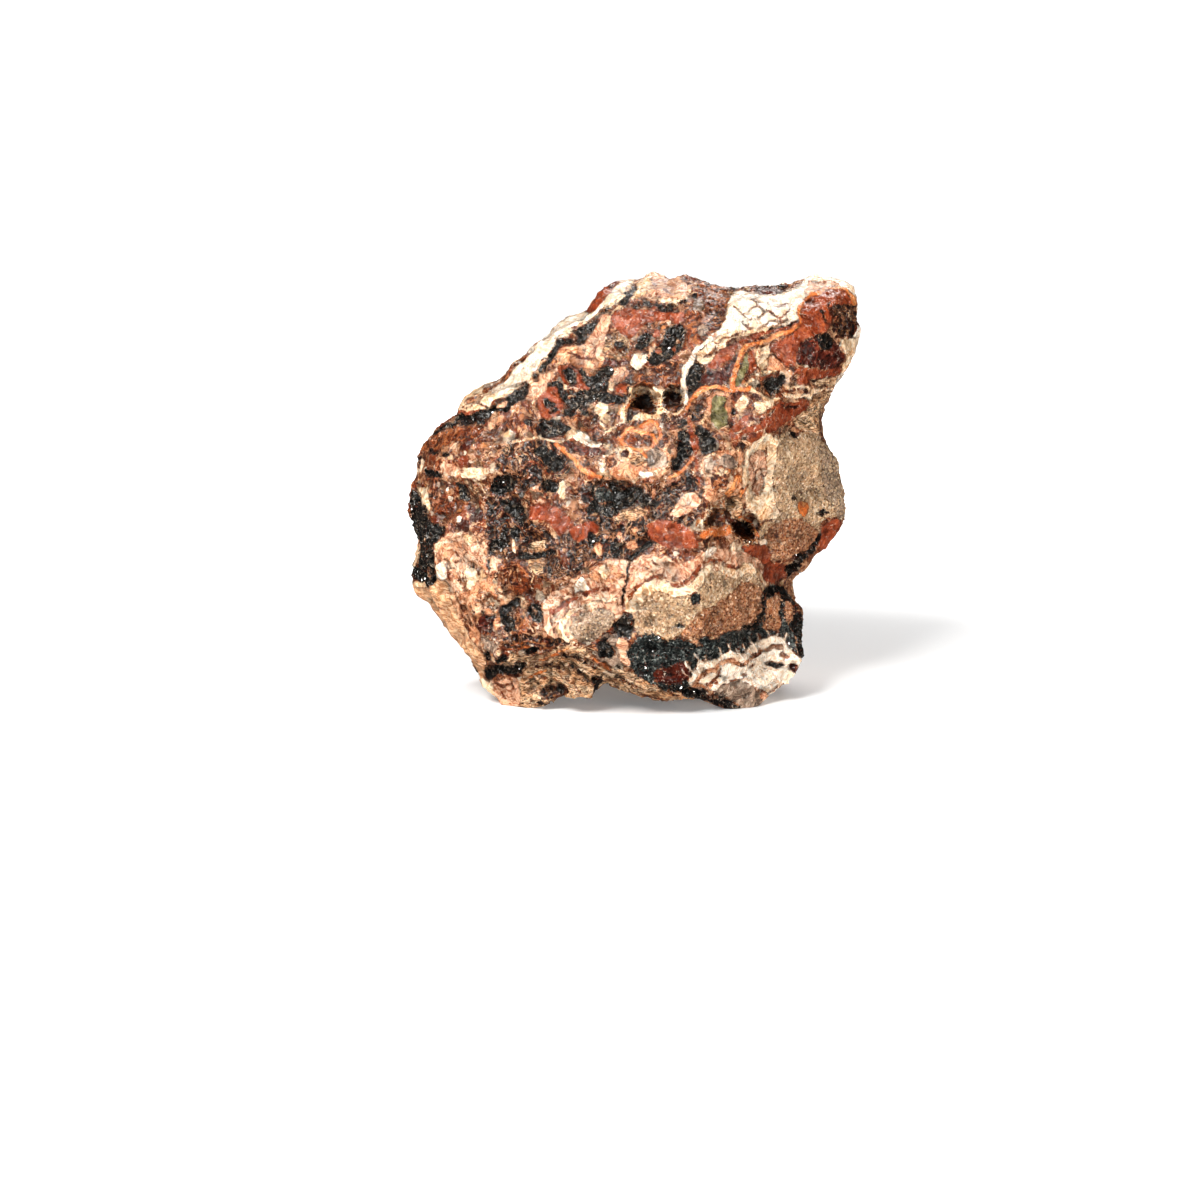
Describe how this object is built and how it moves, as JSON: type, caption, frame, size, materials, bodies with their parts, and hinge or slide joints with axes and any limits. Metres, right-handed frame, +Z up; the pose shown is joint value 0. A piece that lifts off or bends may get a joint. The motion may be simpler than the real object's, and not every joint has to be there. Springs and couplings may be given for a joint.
{
  "type": "hematite rough",
  "caption": "Natural broken lump of red hematite breccia with black, white and orange veins, small open vugs and a sandy flank, resting on its rough underside.",
  "frame": {"origin": "on the ground below the middle of the lump's box", "axes": "+X to the right as the picture shows the lump, along its longest extent, +Y from the front face to the back, +Z up"},
  "size_m": [0.1085, 0.0779, 0.0998],
  "materials": {
    "hematite_breccia": "wet, glossy broken stone"
  },
  "bodies": {
    "root": {"hematite_rough": "hematite_breccia"}
  },
  "joints": []
}
